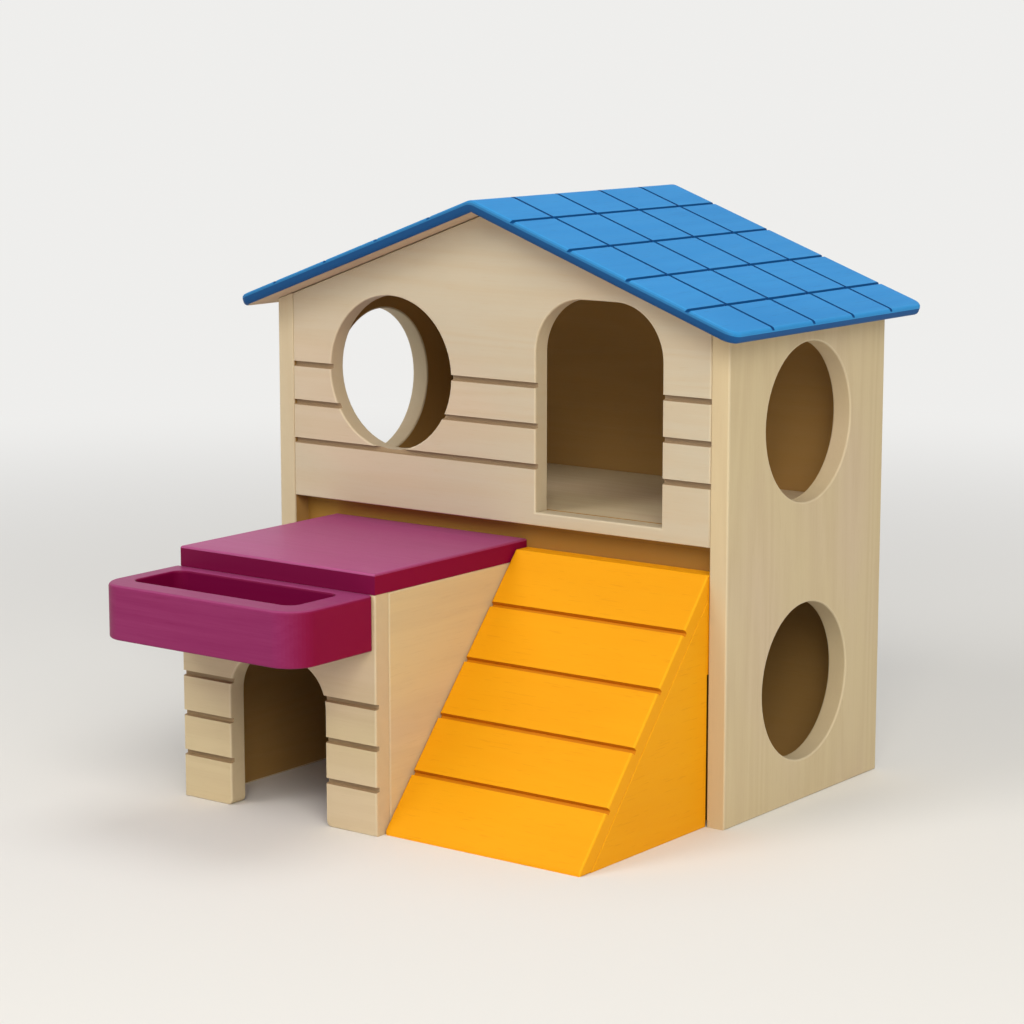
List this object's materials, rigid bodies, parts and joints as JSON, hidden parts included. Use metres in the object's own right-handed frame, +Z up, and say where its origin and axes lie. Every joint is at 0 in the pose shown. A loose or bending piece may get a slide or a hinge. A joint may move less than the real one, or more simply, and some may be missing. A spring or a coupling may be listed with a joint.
{
  "type": "hamster play house",
  "caption": "Two-storey wooden hamster play house with a lift-off pitched roof, round windows, a door, a low annex with a deck and feeding trough, and a ramp.",
  "frame": {"origin": "middle of the whole footprint, at the ground", "axes": "+Z up, the front with the annex and the ramp towards -Y, +X to the right seen from the front"},
  "size_m": [0.155, 0.165, 0.15],
  "materials": {
    "natural_wood": "pale smooth sanded boards, uncoated",
    "blue_stained_wood": "blue stain, satin, darker in the scored lines and on the edges",
    "purple_stained_wood": "reddish purple stain, satin",
    "yellow_stained_wood": "orange yellow stain, satin",
    "peg_wood": "plain turned pegs, glued"
  },
  "bodies": {
    "house": {"left_side_wall": "natural_wood", "right_side_wall": "natural_wood", "front_gable_panel": "natural_wood", "rear_wall": "natural_wood", "lower_front_wall": "natural_wood", "upper_floor": "natural_wood", "left_floor_rail": "natural_wood", "right_floor_rail": "natural_wood", "annex_front_wall": "natural_wood", "annex_left_wall": "natural_wood", "annex_right_wall": "natural_wood", "deck_board": "purple_stained_wood", "feeding_trough": "purple_stained_wood", "ramp_tread": "yellow_stained_wood", "ramp_left_cheek": "yellow_stained_wood", "ramp_right_cheek": "yellow_stained_wood", "ramp_head_batten": "yellow_stained_wood", "wall_dowels": "peg_wood", "annex_dowels": "peg_wood", "trough_dowels": "peg_wood", "ramp_dowels": "peg_wood"},
    "roof": {"left_roof_board": "blue_stained_wood", "right_roof_board": "blue_stained_wood", "front_roof_former": "natural_wood", "rear_roof_former": "natural_wood", "ridge_batten": "natural_wood"}
  },
  "joints": [
    {"name": "roof_lift", "type": "slide", "parent": "house", "child": "roof", "axis": [0, 0, 1], "range_m": [0, 0.06]}
  ]
}
